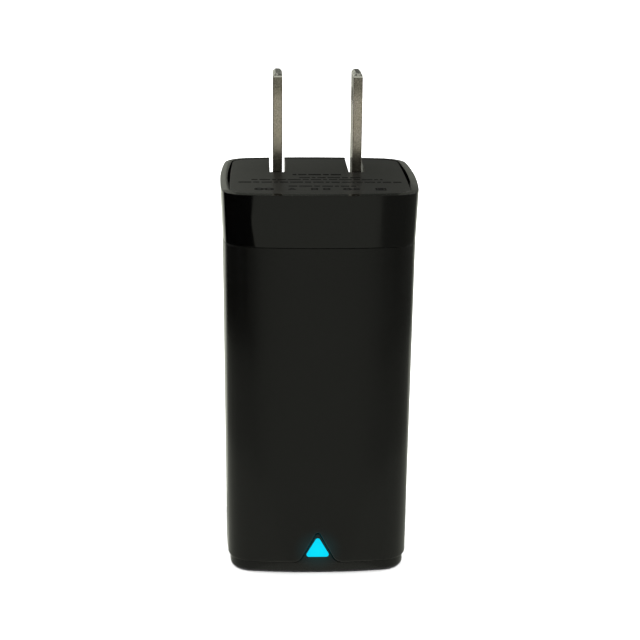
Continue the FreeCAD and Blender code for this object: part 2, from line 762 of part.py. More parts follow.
def transformer():
    """Two E-shaped cores closed round a bobbin, with the winding and tape between them."""
    y_low, y_high = board_back + 1.0, board_back + 11.4
    middle_y, middle_z = (y_low + y_high) / 2, 21.4
    transformer_cores(middle_y, middle_z)
    reel_half_height, flange = 4.5, 0.7
    reel = (middle_z - reel_half_height, middle_z + reel_half_height)
    core_half, core_deep = 2.2, 3.5
    tube = block("bobbin_tube", (-core_half, core_half), (middle_y - core_deep, middle_y + core_deep),
                 reel, own=False)
    flanges = [block("bobbin_flange_" + tag, (-4.9, 4.9), (y_low, y_high), (near, near + flange), own=False)
               for tag, near in (("a", reel[0]), ("b", reel[1] - flange))]
    bore = block("bobbin_bore", (-1.65, 1.65), (middle_y - 2.95, middle_y + 2.95), (10, 35), own=False)
    whole = doc.addObject("Part::MultiFuse", "bobbin_whole")
    whole.Shapes = [tube] + flanges
    carve("transformer_bobbin", whole, [bore])
    within = (reel[0] + flange + 0.05, reel[1] - flange - 0.05)
    for name, grow, hole in (("transformer_winding", 2.0, 0.02), ("transformer_tape", 2.35, 2.02)):
        shells = []
        for tag, out, levels in (("_out", grow, within), ("_in", hole, reel)):
            deep = core_deep + out * 0.7
            shells.append(block(name + tag, (-core_half - out, core_half + out),
                                (middle_y - deep, middle_y + deep), levels, own=False))
        carve(name, shells[0], [shells[1]])
    leads = [rod("lead_%s_%s" % (row, column), (x, board_back - 0.8, z), 0.3, 2.0, "y", own=False)
             for row, z in (("low", reel[0] + flange / 2), ("high", reel[1] - flange / 2))
             for column, x in (("left", -3.6), ("middle", 0.0), ("right", 3.6))]
    merge("transformer_pins", leads)


def transformer_cores(middle_y, middle_z):
    half_wide, half_deep, tall, leg, back = 6.6, 2.9, 6.2, 1.6, 1.6
    for name, up in (("core_lower", -1), ("core_upper", 1)):
        span = sorted((middle_z, middle_z + up * tall))
        solid = block(name + "_block", (-half_wide, half_wide), (middle_y - half_deep, middle_y + half_deep),
                      span, own=False)
        inner = sorted((middle_z - up, middle_z + up * (tall - back)))
        windows = [block(name + "_window_" + tag, x, (-FAR, FAR), inner, own=False)
                   for tag, x in (("a", (leg - half_wide, -leg)), ("b", (leg, half_wide - leg)))]
        carve("transformer_" + name, solid, windows)


def capacitors():
    bulk_radius, output_radius, disc_radius = 3.15, 3.0, 3.0
    for name, x in (("bulk_capacitor_left", -4.3), ("bulk_capacitor_right", 4.3)):
        rod(name, (x, board_face - bulk_radius, 33.0), bulk_radius, 12.0)
    rod("output_capacitor", (-3.6, board_face - output_radius, 8.6), output_radius, 9.5)
    rod("safety_capacitor", (0.0, board_back, 31.3), disc_radius, 2.4, "y")


def filter_parts():
    """Drum choke in front of the board, fusible resistor and rectifier behind it."""
    drum_radius, coil_radius, core_radius, rim = 2.9, 2.6, 1.6, 0.8
    x, y, low, tall = 4.2, board_face - drum_radius, 21.0, 7.0
    core = rod("choke_drum", (x, y, low), core_radius, tall, own=False)
    ends = [rod("choke_end_" + tag, (x, y, z), drum_radius, rim, own=False)
            for tag, z in (("a", low), ("b", low + tall - rim))]
    merge("choke_core", [core] + ends)
    coil = rod("coil_out", (x, y, low + rim + 0.05), coil_radius, tall - rim * 2 - 0.1, own=False)
    bore = rod("coil_in", (x, y, low), core_radius + 0.02, tall + 1, own=False)
    carve("choke_winding", coil, [bore])
    fuse_radius = 1.5
    rod("fuse_resistor", (-3.5, board_back + fuse_radius, 47.6), fuse_radius, 7.0, "x")
    block("bridge_rectifier", (-3.0, 3.0), (board_back, board_back + 2.4), (38.0, 43.8))


def chips():
    chip_high, leg_high = 1.5, 0.3
    body = block("ic_body", (-6.8, -2.8), (board_face - chip_high, board_face), (22.4, 27.4), own=False)
    legs = [block("ic_legs_" + tag, x, (board_face - leg_high, board_face), (22.9, 26.9), own=False)
            for tag, x in (("a", (-7.6, -6.7)), ("b", (-2.9, -2.0)))]
    merge("controller_chip", [body] + legs)
    spreader_thick = 0.8
    block("heat_spreader", (-6.4, -3.2), (board_face - chip_high - spreader_thick, board_face - chip_high),
          (20.4, 29.4))
    block("output_rectifier", (3.0, 7.4), (board_face - 2.2, board_face), (12.4, 16.4))
    block("status_led", (-0.8, 0.8), (board_face - 1.1, board_face), (3.0, 4.6))


def wiring():
    """Leads from the contacts' feet to the board."""
    radius, sunk = 0.45, 0.2
    for side, name in ((-1, "wire_left"), (1, "wire_right")):
        rod(name, (side * blade_x, board_back - sunk, lead_level - 0.25 - radius), radius, 3.9, "y")


def barrier_sheet():
    """Insulating sheet between the blade cradle and the board."""
    block("barrier_sheet", (-8.8, 8.8), (dim("cradle_front") - 0.4, dim("cradle_front") - 0.05),
          (dim("cradle_low") + 1.2, dim("housing_low") - 4))


# ---------------------------------------------------------------- build and write

def build():
    main_sleeve()
    mains_collar()
    collar_rear_segment()
    end_plate()
    end_cap()
    led_lens()
    plug_cradle()
    plug_carrier()
    for side in (-1, 1):
        blade_side(side)
        contact_side(side)
    detent_spring()
    usb_shell()
    usb_insert()
    circuit_board()
    transformer()
    capacitors()
    filter_parts()
    chips()
    wiring()
    barrier_sheet()
    doc.recompute()


def write():
    os.makedirs("parts", exist_ok=True)
    for item in doc.Objects:
        if "Invalid" in item.State or "Error" in item.State:
            raise RuntimeError("%s is %s" % (item.Name, item.State))
    for node in nodes:
        shape = node.Shape
        if shape.isNull() or not shape.isValid() or not shape.Solids:
            raise RuntimeError("%s has no valid shape" % node.Label)
        shape.exportStep("parts/%s.step" % node.Label)
        print("%-24s solids %d volume %8.1f" % (node.Label, len(shape.Solids), shape.Volume))


build()
write()
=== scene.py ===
import json
import math

import bmesh
import bpy
from mathutils import Matrix, Vector


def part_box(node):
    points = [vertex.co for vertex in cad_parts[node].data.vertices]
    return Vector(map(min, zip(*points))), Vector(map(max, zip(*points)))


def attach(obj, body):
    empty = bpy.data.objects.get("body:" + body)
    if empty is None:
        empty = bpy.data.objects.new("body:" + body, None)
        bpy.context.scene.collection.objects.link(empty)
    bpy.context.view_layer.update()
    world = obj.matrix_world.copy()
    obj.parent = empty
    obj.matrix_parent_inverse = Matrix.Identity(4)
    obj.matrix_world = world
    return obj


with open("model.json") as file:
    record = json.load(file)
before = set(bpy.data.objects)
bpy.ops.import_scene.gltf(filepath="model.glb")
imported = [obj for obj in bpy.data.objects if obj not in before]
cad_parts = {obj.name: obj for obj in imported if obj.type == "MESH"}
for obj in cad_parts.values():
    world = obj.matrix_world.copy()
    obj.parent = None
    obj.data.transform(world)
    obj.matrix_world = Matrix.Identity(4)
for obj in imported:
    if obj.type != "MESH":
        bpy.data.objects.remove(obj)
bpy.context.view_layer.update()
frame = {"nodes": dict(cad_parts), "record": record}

MM = 0.001
NODES = frame["nodes"]

# Camera at the photograph's angle. Angles are in degrees, the lens and sensor in millimetres.
CAMERA_AZIMUTH = -2.475
CAMERA_ELEVATION = 17.48
CAMERA_ROLL = 0.636
CAMERA_DISTANCE = 237.4 * MM
CAMERA_TARGET = Vector((0.594, 0.0, 38.37)) * MM
CAMERA_LENS = 81.65
CAMERA_SENSOR = 36.0
CAMERA_NEAR = 0.01
CAMERA_FAR = 20.0


def corners(name):
    """The lowest and highest corner of a node's box."""
    return [Vector(corner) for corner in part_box(name)]


# ---------------------------------------------------------------- shader building blocks

REFRACTION = 1.46
NOISE_ROUGHNESS = 0.55
NOISE_LOW, NOISE_HIGH = 0.3, 0.7        # nearly all of a noise's values lie between these
BEVEL_SAMPLES = 6
EDGE_STARTS, EDGE_FULL = 0.985, 0.8     # cosine between a face and its softened edge
SMOOTH_ANGLE = math.radians(30)
MERGE_DISTANCE = 0.001 * MM


class Shader:
    """A principled material whose textures are laid in the object's own metres."""

    def __init__(self, name, colour, roughness, metallic=0.0, specular=0.5):
        self.material = bpy.data.materials.new(name)
        self.material.use_nodes = True
        self.tree = self.material.node_tree
        self.surface = self.tree.nodes["Principled BSDF"]
        self.painted = None
        self.set("Base Color", (*colour, 1.0))
        self.set("Roughness", roughness)
        self.set("Metallic", metallic)
        self.set("Specular IOR Level", specular)
        self.set("IOR", REFRACTION)
        self.place = self.add("ShaderNodeTexCoord").outputs["Object"]

    def set(self, socket, value):
        self.surface.inputs[socket].default_value = value

    def add(self, kind, **settings):
        node = self.tree.nodes.new(kind)
        for key, value in settings.items():
            setattr(node, key, value)
        return node

    def link(self, source, target):
        self.tree.links.new(source, target)

    def mapped(self, scale, shift=(0.0, 0.0, 0.0)):
        """The object's coordinates, scaled and then shifted."""
        node = self.add("ShaderNodeMapping")
        node.inputs["Scale"].default_value = scale
        node.inputs["Location"].default_value = shift
        self.link(self.place, node.inputs["Vector"])
        return node.outputs["Vector"]

    def axis(self, name):
        """One of the object's coordinates: X, Y or Z."""
        node = self.add("ShaderNodeSeparateXYZ")
        self.link(self.place, node.inputs["Vector"])
        return node.outputs[name]

    def noise(self, grain, detail=4.0, stretch=(1.0, 1.0, 1.0)):
        """Noise whose features are about grain metres across."""
        node = self.add("ShaderNodeTexNoise")
        node.inputs["Scale"].default_value = 1.0 / grain
        node.inputs["Detail"].default_value = detail
        node.inputs["Roughness"].default_value = NOISE_ROUGHNESS
        self.link(self.mapped(stretch), node.inputs["Vector"])
        return node.outputs["Fac"]

    def spread(self, source, low, high, to_low, to_high):
        """A source that runs from to_low at low to to_high at high, and no further."""
        node = self.add("ShaderNodeMapRange")
        ends = {"From Min": low, "From Max": high, "To Min": to_low, "To Max": to_high}
        for name, value in ends.items():
            node.inputs[name].default_value = value
        self.link(source, node.inputs["Value"])
        return node.outputs["Result"]

    def vary(self, noise, to_low, to_high):
        """A noise spread over a range of values."""
        return self.spread(noise, NOISE_LOW, NOISE_HIGH, to_low, to_high)

    def band(self, source, start, full, fade, end):
        """1 between full and fade, down to 0 at start and end."""
        return self.math("MULTIPLY", self.spread(source, start, full, 0.0, 1.0),
                         self.spread(source, fade, end, 1.0, 0.0))

    def math(self, operation, first, second):
        """Two sources or numbers put through one operation."""
        node = self.add("ShaderNodeMath", operation=operation)
        for socket, value in zip(node.inputs, (first, second)):
            if isinstance(value, (int, float)):
                socket.default_value = value
            else:
                self.link(value, socket)
        return node.outputs["Value"]

    def blend(self, factor, first, second):
        """Two colours or colour sources, mixed by a factor."""
        node = self.add("ShaderNodeMix", data_type="RGBA")
        self.link(factor, node.inputs["Factor"])
        for name, value in (("A", first), ("B", second)):
            socket = [s for s in node.inputs if s.name == name and s.type == "RGBA"][0]
            if isinstance(value, tuple):
                socket.default_value = (*value, 1.0)
            else:
                self.link(value, socket)
        return [s for s in node.outputs if s.type == "RGBA"][0]

    def mottle(self, noise, first, second):
        """Two colours mixed by a noise."""
        return self.blend(self.vary(noise, 0.0, 1.0), first, second)

    def paint(self, source):
        self.painted = source
        self.link(source, self.surface.inputs["Base Color"])

    def rough(self, source):
        self.link(source, self.surface.inputs["Roughness"])

    def softened(self, radius):
        """The surface's normal with its edges rounded."""
        node = self.add("ShaderNodeBevel", samples=BEVEL_SAMPLES)
        node.inputs["Radius"].default_value = radius
        return node.outputs["Normal"]

    def bump(self, height, depth, radius=0.0):
        """Relief of a given depth in metres, over softened edges if a radius is given."""
        node = self.add("ShaderNodeBump")
        node.inputs["Distance"].default_value = depth
        node.inputs["Strength"].default_value = 1.0
        self.link(height, node.inputs["Height"])
        if radius:
            self.link(self.softened(radius), node.inputs["Normal"])
        self.link(node.outputs["Normal"], self.surface.inputs["Normal"])

    def edges(self, radius):
        """About 1 on convex and concave edges, 0 on flat faces."""
        flat = self.add("ShaderNodeNewGeometry")
        dot = self.add("ShaderNodeVectorMath", operation="DOT_PRODUCT")
        self.link(self.softened(radius), dot.inputs[0])
        self.link(flat.outputs["Normal"], dot.inputs[1])
        return self.spread(dot.outputs["Value"], EDGE_STARTS, EDGE_FULL, 0.0, 1.0)


def brighter(colour, factor, offset=0.0):
    """A colour scaled and lifted, kept at or below 1."""
    return tuple(min(1.0, channel * factor + offset) for channel in colour)


# ---------------------------------------------------------------- moulded plastic

CLOUD_GRAIN = 9 * MM                    # slow changes of shade and sheen
SPARK_GRAIN = 0.16 * MM                 # fine spark-eroded texture
SPARK_SHEEN = 0.012
PLASTIC_EDGE = 0.12 * MM
PLASTIC_EDGE_WEAR = 0.35
PLASTIC_ROUNDING = 0.06 * MM

# Painted highlight along the sleeve's lower edges: width, strength, fade, colour and reach above
# the lens
EDGE_HIGHLIGHT_WIDTH = 0.3 * MM
EDGE_HIGHLIGHT_STRENGTH = 0.5
EDGE_HIGHLIGHT_FADE = 1 * MM
EDGE_HIGHLIGHT_COLOUR = (0.03, 0.03, 0.028)
EDGE_HIGHLIGHT_ABOVE_LENS = 2 * MM

GLOW_REACH = 4.2 * MM                   # how far the lens lights the plastic beside it
GLOW_FULL = 1.2 * MM
GLOW_FALL = 1.6
GLOW_COLOUR = (0.0, 0.018, 0.021, 1.0)
GLOW_HEIGHT = 0.4                       # of the lens's height, where its light is centred
GLOW_DEPTH = (3 * MM, 1 * MM)           # behind the lens's face, where the light starts, is full


def moulded(name, colour, roughness, grain_depth, wear, specular=0.5):
    """Moulded plastic: fine spark texture, uneven sheen and slightly polished, paler edges."""
    shader = Shader(name, colour, roughness, specular=specular)
    broad = shader.noise(CLOUD_GRAIN, detail=3.0)
    fine = shader.noise(SPARK_GRAIN, detail=2.0)
    tint = shader.mottle(broad, colour, brighter(colour, 1.25))
    edge = shader.math("MULTIPLY", shader.edges(PLASTIC_EDGE), PLASTIC_EDGE_WEAR)
    shader.paint(shader.blend(edge, tint, brighter(colour, 2.2, wear)))
    uneven = shader.vary(broad, roughness * 0.93, roughness * 1.07)
    grain = shader.spread(fine, 0.35, 0.65, -SPARK_SHEEN, SPARK_SHEEN)
    shader.rough(shader.math("ADD", uneven, grain))
    shader.bump(fine, grain_depth, PLASTIC_ROUNDING)
    return shader


def paint_edge_highlight_below(shader, top):
    """Painted highlight: paler edges on the part of a moulding that lies below a height."""
    low = shader.spread(shader.axis("Z"), top, top - EDGE_HIGHLIGHT_FADE, 0.0, EDGE_HIGHLIGHT_STRENGTH)
    amount = shader.math("MULTIPLY", low, shader.edges(EDGE_HIGHLIGHT_WIDTH))
    # the edges are blended towards a pale colour, a painted highlight
    shader.paint(shader.blend(amount, shader.painted, EDGE_HIGHLIGHT_COLOUR))


def light_round_lens(shader):
    """Faint teal light that the lens spreads over the plastic beside it."""
    low, high = corners("led_lens")
    centre_x = (low.x + high.x) / 2
    centre_z = low.z * (1.0 - GLOW_HEIGHT) + high.z * GLOW_HEIGHT
    reach = shader.add("ShaderNodeVectorMath", operation="LENGTH")
    shader.link(shader.mapped((1.0, 0.0, 1.0), (-centre_x, 0.0, -centre_z)), reach.inputs[0])
    starts, full = GLOW_DEPTH
    front = shader.spread(shader.axis("Y"), low.y + starts, low.y + full, 0.0, 1.0)
    fade = shader.spread(reach.outputs["Value"], GLOW_REACH, GLOW_FULL, 0.0, 1.0)
    shader.set("Emission Color", GLOW_COLOUR)
    shader.link(shader.math("MULTIPLY", front, shader.math("POWER", fade, GLOW_FALL)),
                shader.surface.inputs["Emission Strength"])


def sleeve_satin():
    """Satin sleeve, with a painted highlight on the edges round its notch and foot."""
    shader = moulded("sleeve_satin", (0.0012, 0.0012, 0.001), 0.22, 0.0004 * MM, 0.002, 0.39)
    # paler edges round the notch and foot: a painted highlight
    paint_edge_highlight_below(shader, corners("led_lens")[1].z + EDGE_HIGHLIGHT_ABOVE_LENS)
    light_round_lens(shader)
    return shader.material


def cap_satin():
    """Satin end cap, a little paler than the sleeve."""
    shader = moulded("cap_satin", (0.0018, 0.0018, 0.0016), 0.28, 0.0004 * MM, 0.006, 0.33)
    light_round_lens(shader)
    return shader.material


def collar_gloss():
    """Polished plastic with faint wipe marks and a little dust."""
    black = (0.0006, 0.0006, 0.0006)
    shader = Shader("collar_gloss", black, 0.07)
    smear = shader.noise(3 * MM, detail=5.0, stretch=(1.0, 1.0, 0.35))
    dust = shader.noise(0.25 * MM, detail=2.0)
    shader.rough(shader.spread(smear, 0.35, 0.7, 0.05, 0.11))
    shader.paint(shader.blend(shader.spread(dust, 0.74, 0.8, 0.0, 0.25), black, (0.02, 0.02, 0.02)))
    shader.bump(smear, 0.0006 * MM, 0.08 * MM)
    return shader.material


# ---------------------------------------------------------------- blades

# Bands on the blades, in millimetres below the tip: start, full, fade and end
HANDLED_BAND = (4.4, 2.2, 0.55, 0.42)
HIGHLIGHT_LINE_BAND = (0.66, 0.58, 0.42, 0.34)
CHIPS_START, CHIPS_FULL = 0.46, 0.36
# Painted shade on the foot of the blades, in millimetres above the end plate
ROOT_SHADE_START, ROOT_SHADE_FULL = 6.5, 1.5
ROOT_SHADE_STRENGTH = 0.45
# Colour of the painted highlight line below the tip
HIGHLIGHT_LINE_PALE = (1.0, 0.98, 0.95)
BLADE_EDGE = 0.12 * MM
BLADE_EDGE_HIGHLIGHT = 0.8
BLADE_RELIEF = 0.0028 * MM


def plated(shader, speckle):
    """The plating's own colour: fine speckle with warmer clouds."""
    cloud = shader.noise(3.5 * MM, detail=3.0)
    base = shader.mottle(speckle, (0.34, 0.3, 0.27), (0.76, 0.68, 0.62))
    return shader.blend(shader.spread(cloud, 0.4, 0.75, 0.0, 0.5), base, (0.58, 0.51, 0.38))


def tip_wear_and_highlight(shader, colour, height):
    """Chipped end with a painted highlight line along its lower edge."""
    tip = corners("blade_left")[1].z
    chips = shader.noise(0.32 * MM, detail=2.0)
    scraped = shader.blend(shader.spread(chips, 0.38, 0.62, 0.0, 1.0),
                           (0.2, 0.195, 0.185), (0.92, 0.9, 0.87))
    on_tip = shader.spread(height, tip - CHIPS_START * MM, tip - CHIPS_FULL * MM, 0.0, 1.0)
    # A pale band just below the tip: a painted highlight line
    highlight_line = shader.band(height, *(tip - below * MM for below in HIGHLIGHT_LINE_BAND))
    return shader.blend(highlight_line, shader.blend(on_tip, colour, scraped), HIGHLIGHT_LINE_PALE)


def blade_nickel():
    """Satin nickel plate: fine speckle, drawn lines along the blade, bright edges that are a
    painted highlight, and painted shade at its foot.
    """
    shader = Shader("blade_nickel", (0.42, 0.40, 0.365), 0.3, metallic=1.0)
    tip = corners("blade_left")[1].z
    face = corners("end_plate")[1].z
    height = shader.axis("Z")
    speckle = shader.noise(0.14 * MM, detail=3.0)
    drawn = shader.noise(0.3 * MM, detail=4.0, stretch=(1.0, 1.0, 0.06))
    handled = shader.math("MULTIPLY",
                          shader.band(height, *(tip - below * MM for below in HANDLED_BAND)),
                          shader.spread(speckle, 0.25, 0.6, 0.95, 0.5))
    # Painted shade: darker towards the foot of the blade, where it meets the end plate
    root_shade = shader.spread(height, face + ROOT_SHADE_START * MM, face + ROOT_SHADE_FULL * MM, 0.0, ROOT_SHADE_STRENGTH)
    # Handling tarnish below the tip and the painted shade at the foot both blend to this dark
    # colour
    tarnish_and_shade = shader.blend(shader.math("MAXIMUM", handled, root_shade),
                          plated(shader, speckle), (0.12, 0.115, 0.1))
    # Pale edges: a painted highlight along the blade's edges
    edge = shader.math("MULTIPLY", shader.edges(BLADE_EDGE), BLADE_EDGE_HIGHLIGHT)
    shader.paint(shader.blend(edge, tip_wear_and_highlight(shader, tarnish_and_shade, height), (0.9, 0.87, 0.82)))
    shader.rough(shader.math("ADD", shader.vary(drawn, 0.14, 0.2),
                             shader.vary(speckle, -0.03, 0.05)))
    shader.bump(shader.math("ADD", speckle, drawn), BLADE_RELIEF, 0.05 * MM)
    return shader.material


# ---------------------------------------------------------------- lens and hidden parts

LENS_LIGHT = 0.5 * MM                   # how far below its centre the light sits
LENS_REACH = 2.6 * MM
LENS_GRAIN = 0.1 * MM
WIRE_PITCH = 0.9 * MM
COPPER_CELL = 3.2 * MM


def lens_cyan():
    """Lit light guide, brightest over the light behind it."""
    shader = Shader("lens_cyan", (0.0, 0.01, 0.015), 0.4, specular=0.05)
    low, high = corners("led_lens")
    apart = shader.add("ShaderNodeVectorMath", operation="DISTANCE")
    shader.link(shader.place, apart.inputs[0])
    apart.inputs[1].default_value = (0.0, low.y, (low.z + high.z) / 2 - LENS_LIGHT)
    grain = shader.vary(shader.noise(0.7 * MM, detail=2.0), -LENS_GRAIN, LENS_GRAIN)
    reach = shader.math("ADD", apart.outputs["Value"], grain)
    colour = shader.blend(shader.spread(reach, 0.0, LENS_REACH, 0.0, 1.0),
                          (0.0, 0.76, 1.0), (0.0, 0.68, 0.95))
    shader.link(colour, shader.surface.inputs["Emission Color"])
    shader.set("Emission Strength", 1.0)
    return shader.material


def metal(name, dark, bright, roughness):
    """Bare or plated metal with a drawn or pressed surface."""
    shader = Shader(name, dark, roughness, metallic=1.0)
    lines = shader.noise(0.2 * MM, detail=4.0, stretch=(1.0, 1.0, 0.2))
    cloud = shader.noise(2.5 * MM, detail=3.0)
    edge = shader.math("MULTIPLY", shader.edges(0.06 * MM), 0.4)
    shader.paint(shader.blend(edge, shader.mottle(lines, dark, bright), brighter(bright, 1.2)))
    shader.rough(shader.vary(cloud, roughness * 0.8, roughness * 1.25))
    shader.bump(lines, 0.0012 * MM, 0.04 * MM)
    return shader.material


def plain(name, dark, bright, roughness, grain):
    """A matt or glossy non-metal with uneven colour."""
    shader = Shader(name, dark, roughness)
    mottled = shader.noise(grain)
    shader.paint(shader.mottle(mottled, dark, bright))
    shader.rough(shader.vary(mottled, roughness * 0.85, roughness * 1.15))
    shader.bump(mottled, 0.002 * MM, 0.05 * MM)
    return shader.material


def copper_wire():
    """Enamelled wire laid in even turns up the bobbin."""
    shader = Shader("copper_wire", (0.5, 0.18, 0.07), 0.3, metallic=0.9)
    wave = shader.add("ShaderNodeTexWave", bands_direction="Z")
    wave.inputs["Scale"].default_value = 1.0 / WIRE_PITCH
    shader.link(shader.place, wave.inputs["Vector"])
    cloud = shader.noise(1.5 * MM)
    base = shader.blend(wave.outputs["Fac"], (0.28, 0.09, 0.035), (0.62, 0.25, 0.1))
    shader.paint(shader.blend(shader.spread(cloud, 0.35, 0.7, 0.0, 0.5), base, (0.45, 0.16, 0.06)))
    shader.bump(wave.outputs["Fac"], 0.05 * MM)
    return shader.material


def board_green():
    """Green resist with paler copper areas showing through it."""
    shader = Shader("board_green", (0.01, 0.09, 0.035), 0.35)
    cells = shader.add("ShaderNodeTexVoronoi", distance="CHEBYCHEV")
    cells.inputs["Scale"].default_value = 1.0 / COPPER_CELL
    shader.link(shader.place, cells.inputs["Vector"])
    copper = shader.spread(cells.outputs["Distance"], 0.34, 0.36, 0.0, 1.0)
    weave = shader.noise(0.3 * MM, stretch=(1.0, 1.0, 3.0))
    base = shader.blend(copper, (0.012, 0.13, 0.05), (0.006, 0.07, 0.03))
    shader.paint(shader.blend(shader.spread(weave, 0.4, 0.8, 0.0, 0.4), base, (0.02, 0.16, 0.07)))
    shader.bump(copper, -0.03 * MM)
    return shader.material


# ---------------------------------------------------------------- one material for each slot

# colour, roughness, depth of the grain, wear of the edges and, for one, specular level
PLASTICS = {
    "plate_satin": ((0.003, 0.003, 0.0028), 0.33, 0.0005 * MM, 0.008, 0.45),
    "cradle_black": ((0.007, 0.007, 0.007), 0.45, 0.0015 * MM, 0.01),
    "carrier_black": ((0.009, 0.009, 0.009), 0.32, 0.001 * MM, 0.012),
    "port_insert": ((0.012, 0.012, 0.012), 0.4, 0.0015 * MM, 0.01),
}
# darker and brighter colour, roughness
METALS = {
    "contact_bronze": ((0.5, 0.28, 0.12), (0.66, 0.42, 0.2), 0.28),
    "spring_steel": ((0.4, 0.4, 0.41), (0.56, 0.56, 0.57), 0.25),
    "port_steel": ((0.5, 0.5, 0.48), (0.68, 0.67, 0.64), 0.24),
    "port_gold": ((0.66, 0.43, 0.12), (0.86, 0.62, 0.24), 0.22),
    "tinned_pins": ((0.5, 0.5, 0.5), (0.7, 0.7, 0.69), 0.3),
    "spreader_aluminium": ((0.5, 0.5, 0.5), (0.7, 0.7, 0.7), 0.35),
}
# darker and brighter colour, roughness, size of the mottling
NON_METALS = {
    "ferrite": ((0.03, 0.03, 0.033), (0.055, 0.055, 0.06), 0.5, 0.4 * MM),
    "bobbin_black": ((0.02, 0.02, 0.02), (0.035, 0.035, 0.035), 0.4, 0.4 * MM),
    "tape_yellow": ((0.6, 0.4, 0.04), (0.74, 0.52, 0.07), 0.3, 1.5 * MM),
    "can_sleeve": ((0.012, 0.016, 0.04), (0.02, 0.026, 0.06), 0.28, 2 * MM),
    "disc_blue": ((0.02, 0.07, 0.28), (0.035, 0.1, 0.36), 0.3, 1 * MM),
    "resistor_body": ((0.12, 0.24, 0.32), (0.16, 0.3, 0.38), 0.35, 1 * MM),
    "chip_black": ((0.012, 0.012, 0.012), (0.024, 0.024, 0.024), 0.45, 0.1 * MM),
    "led_body": ((0.6, 0.62, 0.55), (0.7, 0.72, 0.66), 0.2, 0.5 * MM),
    "wire_black": ((0.01, 0.01, 0.01), (0.018, 0.018, 0.018), 0.4, 0.3 * MM),
    "sheet_amber": ((0.42, 0.3, 0.12), (0.5, 0.37, 0.16), 0.25, 2 * MM),
}
OWN_RECIPES = {
    "sleeve_satin": sleeve_satin,
    "cap_satin": cap_satin,
    "collar_gloss": collar_gloss,
    "blade_nickel": blade_nickel,
    "lens_cyan": lens_cyan,
    "copper_wire": copper_wire,
    "board_green": board_green,
}


def slot_material(slot):
    """The detailed material for one material slot of the record."""
    if slot in PLASTICS:
        return moulded(slot, *PLASTICS[slot]).material
    if slot in METALS:
        return metal(slot, *METALS[slot])
    if slot in NON_METALS:
        return plain(slot, *NON_METALS[slot])
    return OWN_RECIPES[slot]()


def smoothing_group():
    """Geometry nodes that join the mesh's loose faces and shade its gentle edges smooth."""
    group = bpy.data.node_groups.new("smooth_faces", "GeometryNodeTree")
    group.interface.new_socket("Geometry", in_out="INPUT", socket_type="NodeSocketGeometry")
    group.interface.new_socket("Geometry", in_out="OUTPUT", socket_type="NodeSocketGeometry")
    source = group.nodes.new("NodeGroupInput")
    merge = group.nodes.new("GeometryNodeMergeByDistance")
    merge.inputs["Distance"].default_value = MERGE_DISTANCE
    faces = group.nodes.new("GeometryNodeSetShadeSmooth")
    edges = group.nodes.new("GeometryNodeSetShadeSmooth")
    edges.domain = "EDGE"
    edges.inputs["Shade Smooth"].default_value = False
    angle = group.nodes.new("GeometryNodeInputMeshEdgeAngle")
    sharp = group.nodes.new("FunctionNodeCompare")
    sharp.operation = "GREATER_THAN"
    sharp.inputs["B"].default_value = SMOOTH_ANGLE
    target = group.nodes.new("NodeGroupOutput")
    group.links.new(source.outputs[0], merge.inputs["Geometry"])
    group.links.new(merge.outputs["Geometry"], faces.inputs["Geometry"])
    group.links.new(faces.outputs["Geometry"], edges.inputs["Geometry"])
    group.links.new(angle.outputs["Unsigned Angle"], sharp.inputs["A"])
    group.links.new(sharp.outputs["Result"], edges.inputs["Selection"])
    group.links.new(edges.outputs["Geometry"], target.inputs[0])
    return group


def dress_nodes():
    """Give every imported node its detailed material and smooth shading."""
    slots = {part["node"]: part["material_slot"] for part in frame["record"]["subparts"]}
    made = {slot: slot_material(slot) for slot in sorted(set(slots.values()))}
    smooth = smoothing_group()
    for name, node in NODES.items():
        node.data.materials.clear()
        node.data.materials.append(made[slots[name]])
        node.modifiers.new("smooth_faces", "NODES").node_group = smooth


def new_piece(name, mesh, material):
    """An object made from a finished bmesh."""
    data = bpy.data.meshes.new(name)
    mesh.to_mesh(data)
    mesh.free()
    data.materials.append(material)
    piece = bpy.data.objects.new(name, data)
    bpy.context.scene.collection.objects.link(piece)
    return piece


# ---------------------------------------------------------------- printed marks on the end plate

PRINT_THICK = 0.02 * MM
PRINT_SUNK = 0.002 * MM
# Rows of bars: y, left end, right end and height, in millimetres
PRINT_ROWS = (
    (0.4, -4.0, 4.0, 0.75),
    (-1.9, -3.0, 6.7, 0.45),
    (-3.4, -10.5, 10.0, 0.45),
    (-5.3, -12.5, 12.8, 0.5),
    (-8.2, -4.8, 5.5, 0.45),
)
BAR_GAP = 0.3
BAR_SHORTEST = 0.6
BAR_STEP = 0.35
# Signs: x, radius and line width in millimetres, number of sides and turn
SIGNS_Y = -10.3
SIGNS = (
    (-9.3, 0.75, 0.38, 24, 0.0),
    (-7.8, 0.75, 0.38, 24, 0.0),
    (-4.3, 0.75, 0.38, 3, math.pi / 2),
    (-0.9, 0.75, 0.38, 4, math.pi / 4),
    (0.95, 0.75, 0.38, 4, math.pi / 4),
    (4.1, 0.75, 0.38, 6, 0.0),
    (5.5, 0.525, 0.304, 24, 0.0),
    (9.2, 1.15, 0.38, 4, math.pi / 4),
    (9.2, 0.575, 0.38, 4, math.pi / 4),
)


def print_ink():
    """Matt ink, a little uneven."""
    shader = Shader("print_grey", (0.003, 0.003, 0.003), 0.6, specular=0.02)
    patchy = shader.noise(0.12 * MM, detail=3.0)
    shader.paint(shader.blend(shader.spread(patchy, 0.35, 0.65, 0.0, 1.0),
                              (0.002, 0.002, 0.002), (0.006, 0.006, 0.006)))
    shader.rough(shader.vary(patchy, 0.4, 0.55))
    shader.bump(patchy, 0.001 * MM)
    return shader.material


